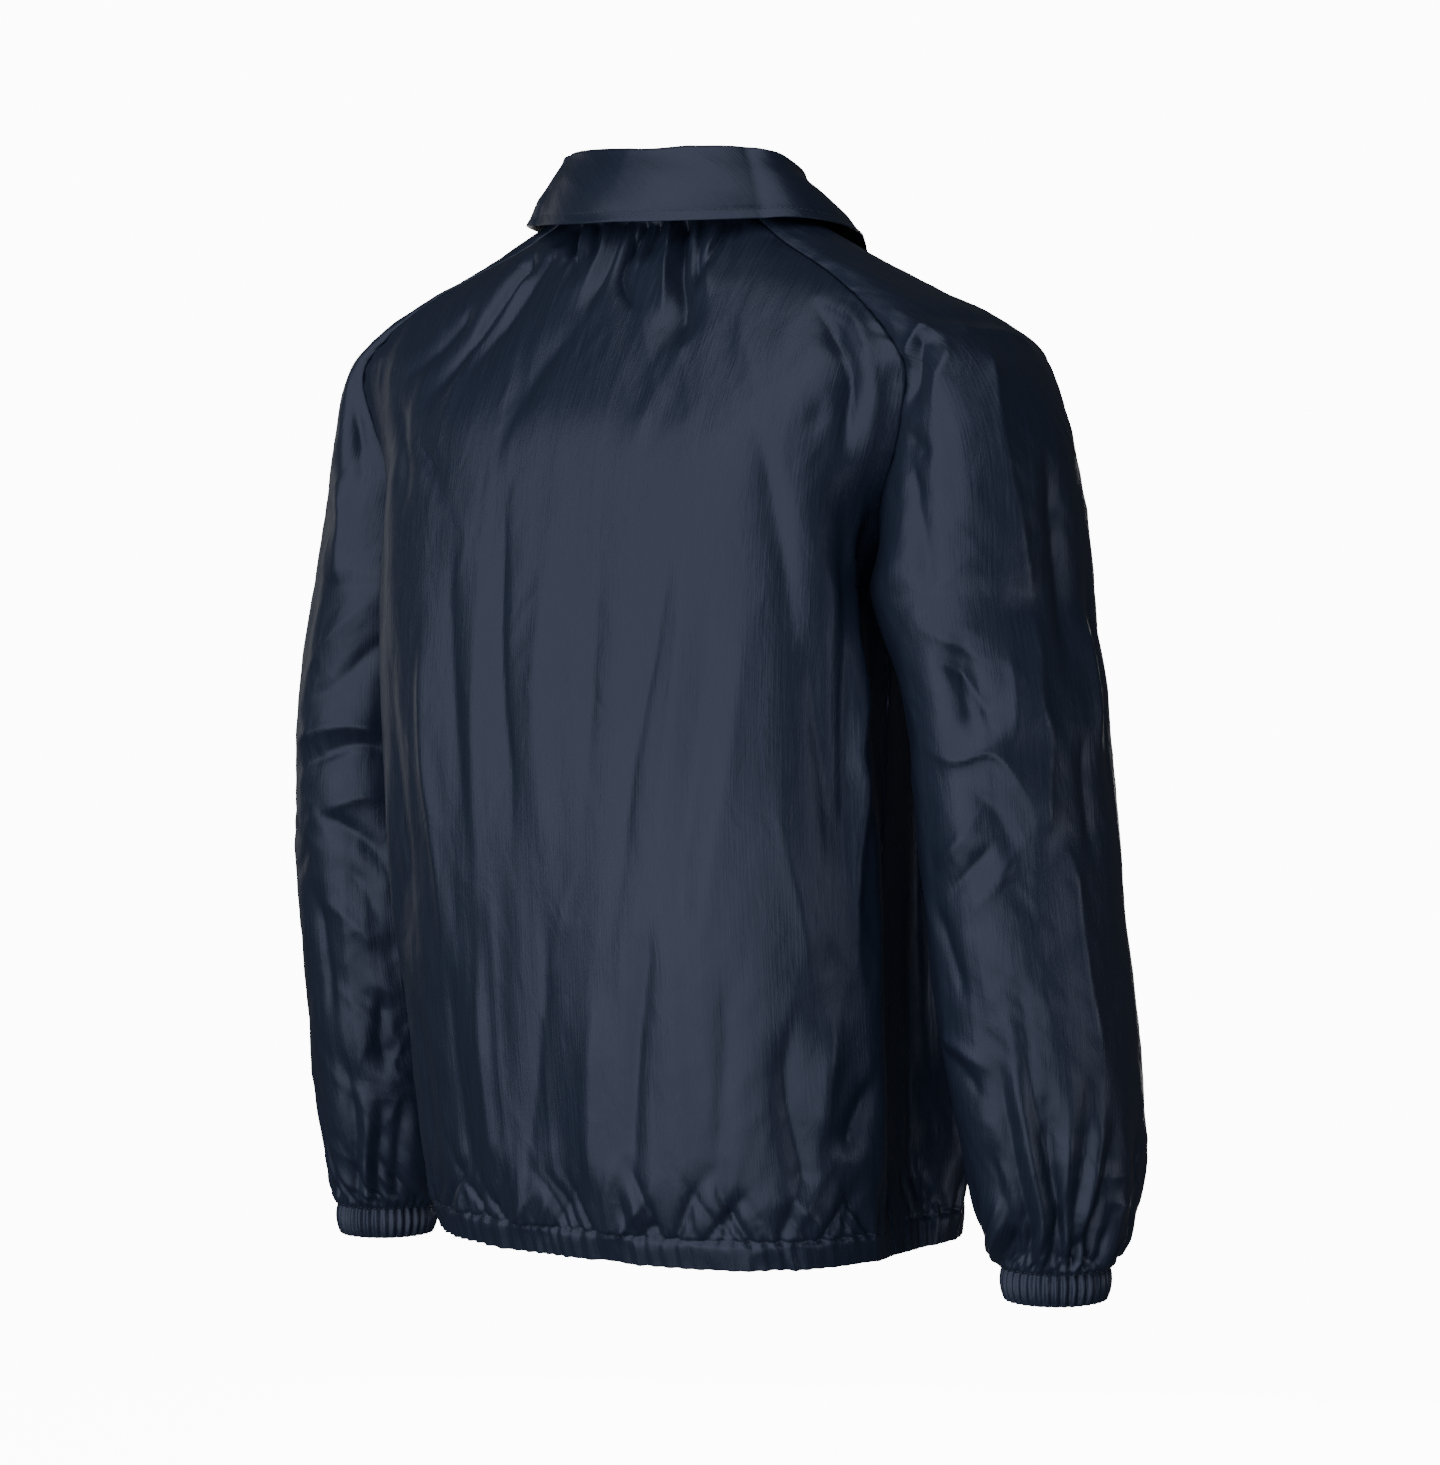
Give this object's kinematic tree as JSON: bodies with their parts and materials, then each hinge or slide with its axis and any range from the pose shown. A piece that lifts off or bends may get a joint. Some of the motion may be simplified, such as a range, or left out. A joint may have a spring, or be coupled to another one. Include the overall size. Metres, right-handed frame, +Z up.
{
  "type": "coach jacket",
  "caption": "Raglan-sleeved coach jacket in thin woven nylon, filled out as if worn, with a turned-down collar, snap front, gathered hem and elastic cuffs.",
  "frame": {"origin": "middle of the neck opening at the height of the shoulder line beside the collar, where the wearer's neck and shoulders hold the jacket", "axes": "+Z up, the wearer faces -Y, the wearer's left sleeve is at +X"},
  "size_m": [0.6626, 0.3266, 0.7718],
  "materials": {
    "navy_nylon": "satin",
    "navy_snap": "semi-gloss"
  },
  "bodies": {
    "root": {"back_panel": "navy_nylon", "front_left": "navy_nylon", "front_right": "navy_nylon", "sleeve_left": "navy_nylon", "sleeve_right": "navy_nylon", "cuff_left": "navy_nylon", "cuff_right": "navy_nylon", "collar": "navy_nylon", "snap_1": "navy_snap", "snap_2": "navy_snap", "snap_3": "navy_snap", "snap_4": "navy_snap", "snap_5": "navy_snap"}
  },
  "joints": []
}
